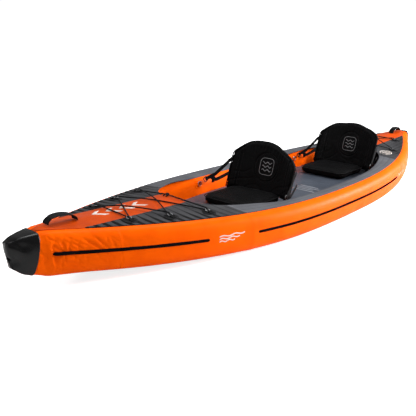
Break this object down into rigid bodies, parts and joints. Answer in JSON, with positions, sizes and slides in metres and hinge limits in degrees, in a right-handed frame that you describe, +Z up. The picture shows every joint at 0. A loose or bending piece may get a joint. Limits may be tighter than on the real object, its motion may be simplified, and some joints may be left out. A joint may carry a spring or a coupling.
{
  "type": "inflatable kayak",
  "caption": "Long two-seat inflatable kayak with decked pointed ends, open cockpit, folding padded seats, end caps, carry handles and laced deck cords.",
  "frame": {"origin": "on the ground under the middle of the hull, at the centre of the bounding box's bottom", "axes": "+X to the bow, +Y to port, +Z up"},
  "size_m": [4.12, 1.0474, 0.4474],
  "materials": {
    "orange_pvc": "coated fabric, satin gloss with soft wrinkles",
    "deck_foam": "grey grooved foam sheet, matte",
    "grey_pvc": "dark grey coated fabric, satin",
    "cap_moulding": "black coated fabric, semi-gloss",
    "webbing": "woven black webbing",
    "elastic_cord": "braided elastic cord",
    "seat_fabric": "padded black woven polyester",
    "black_plastic": "moulded black plastic",
    "ring_steel": "stainless wire ring on a coated patch",
    "valve_plastic": "moulded grey plastic"
  },
  "bodies": {
    "hull": {"port_side_chamber": "orange_pvc", "starboard_side_chamber": "orange_pvc", "floor_chamber": "grey_pvc", "bottom_panel": "grey_pvc", "bow_deck_panel": "orange_pvc", "bow_grip_pad_port": "deck_foam", "bow_grip_pad_starboard": "deck_foam", "stern_deck_panel": "orange_pvc", "stern_grip_pad_port": "deck_foam", "stern_grip_pad_starboard": "deck_foam", "gunwale_cover_port": "deck_foam", "gunwale_cover_starboard": "deck_foam", "bow_cap": "cap_moulding", "stern_cap": "cap_moulding", "fore_rub_strip_port": "cap_moulding", "fore_rub_strip_starboard": "cap_moulding", "aft_rub_strip_port": "cap_moulding", "aft_rub_strip_starboard": "cap_moulding", "bow_handle_strap": "webbing", "bow_handle_grip": "webbing", "stern_handle_strap": "webbing", "stern_handle_grip": "webbing", "bow_cord_anchor_port_1": "webbing", "bow_cord_anchor_port_2": "webbing", "bow_cord_anchor_port_3": "webbing", "bow_cord_anchor_starboard_1": "webbing", "bow_cord_anchor_starboard_2": "webbing", "bow_cord_anchor_starboard_3": "webbing", "stern_cord_anchor_port_1": "webbing", "stern_cord_anchor_port_2": "webbing", "stern_cord_anchor_starboard_1": "webbing", "stern_cord_anchor_starboard_2": "webbing", "bow_cord": "elastic_cord", "bow_cord_knot": "elastic_cord", "stern_cord": "elastic_cord", "stern_cord_knot": "elastic_cord", "front_seat_base": "seat_fabric", "front_seat_strap_port": "webbing", "front_strap_hook_port": "black_plastic", "front_seat_ring_port": "ring_steel", "front_seat_strap_starboard": "webbing", "front_strap_hook_starboard": "black_plastic", "front_seat_ring_starboard": "ring_steel", "rear_seat_base": "seat_fabric", "rear_seat_strap_port": "webbing", "rear_strap_hook_port": "black_plastic", "rear_seat_ring_port": "ring_steel", "rear_seat_strap_starboard": "webbing", "rear_strap_hook_starboard": "black_plastic", "rear_seat_ring_starboard": "ring_steel", "port_valve_body": "black_plastic", "starboard_valve_body": "black_plastic", "floor_valve_body": "black_plastic", "skeg_track": "black_plastic"},
    "front_seat_back": {"front_seat_back": "seat_fabric"},
    "rear_seat_back": {"rear_seat_back": "seat_fabric"},
    "port_valve_cap": {"port_valve_cap": "valve_plastic"},
    "starboard_valve_cap": {"starboard_valve_cap": "valve_plastic"},
    "floor_valve_cap": {"floor_valve_cap": "valve_plastic"}
  },
  "joints": [
    {"name": "front_back_fold", "type": "hinge", "parent": "hull", "child": "front_seat_back", "pos_m": [0.335, 0, 0.148], "axis": [0, 1, 0], "range_deg": [0, 90]},
    {"name": "rear_back_fold", "type": "hinge", "parent": "hull", "child": "rear_seat_back", "pos_m": [-0.793, 0, 0.1525], "axis": [0, 1, 0], "range_deg": [0, 90]},
    {"name": "port_valve_turn", "type": "hinge", "parent": "hull", "child": "port_valve_cap", "pos_m": [-0.98372, 0.25971, 0.14604], "axis": [0.2292, -0.9707, 0.0721], "range_deg": [0, 90]},
    {"name": "starboard_valve_turn", "type": "hinge", "parent": "hull", "child": "starboard_valve_cap", "pos_m": [-0.98372, -0.25971, 0.14604], "axis": [0.2292, 0.9707, 0.0721], "range_deg": [0, 90]},
    {"name": "floor_valve_turn", "type": "hinge", "parent": "hull", "child": "floor_valve_cap", "pos_m": [-0.985, 0, 0.10673], "axis": [0, 0, 1], "range_deg": [0, 90]}
  ]
}
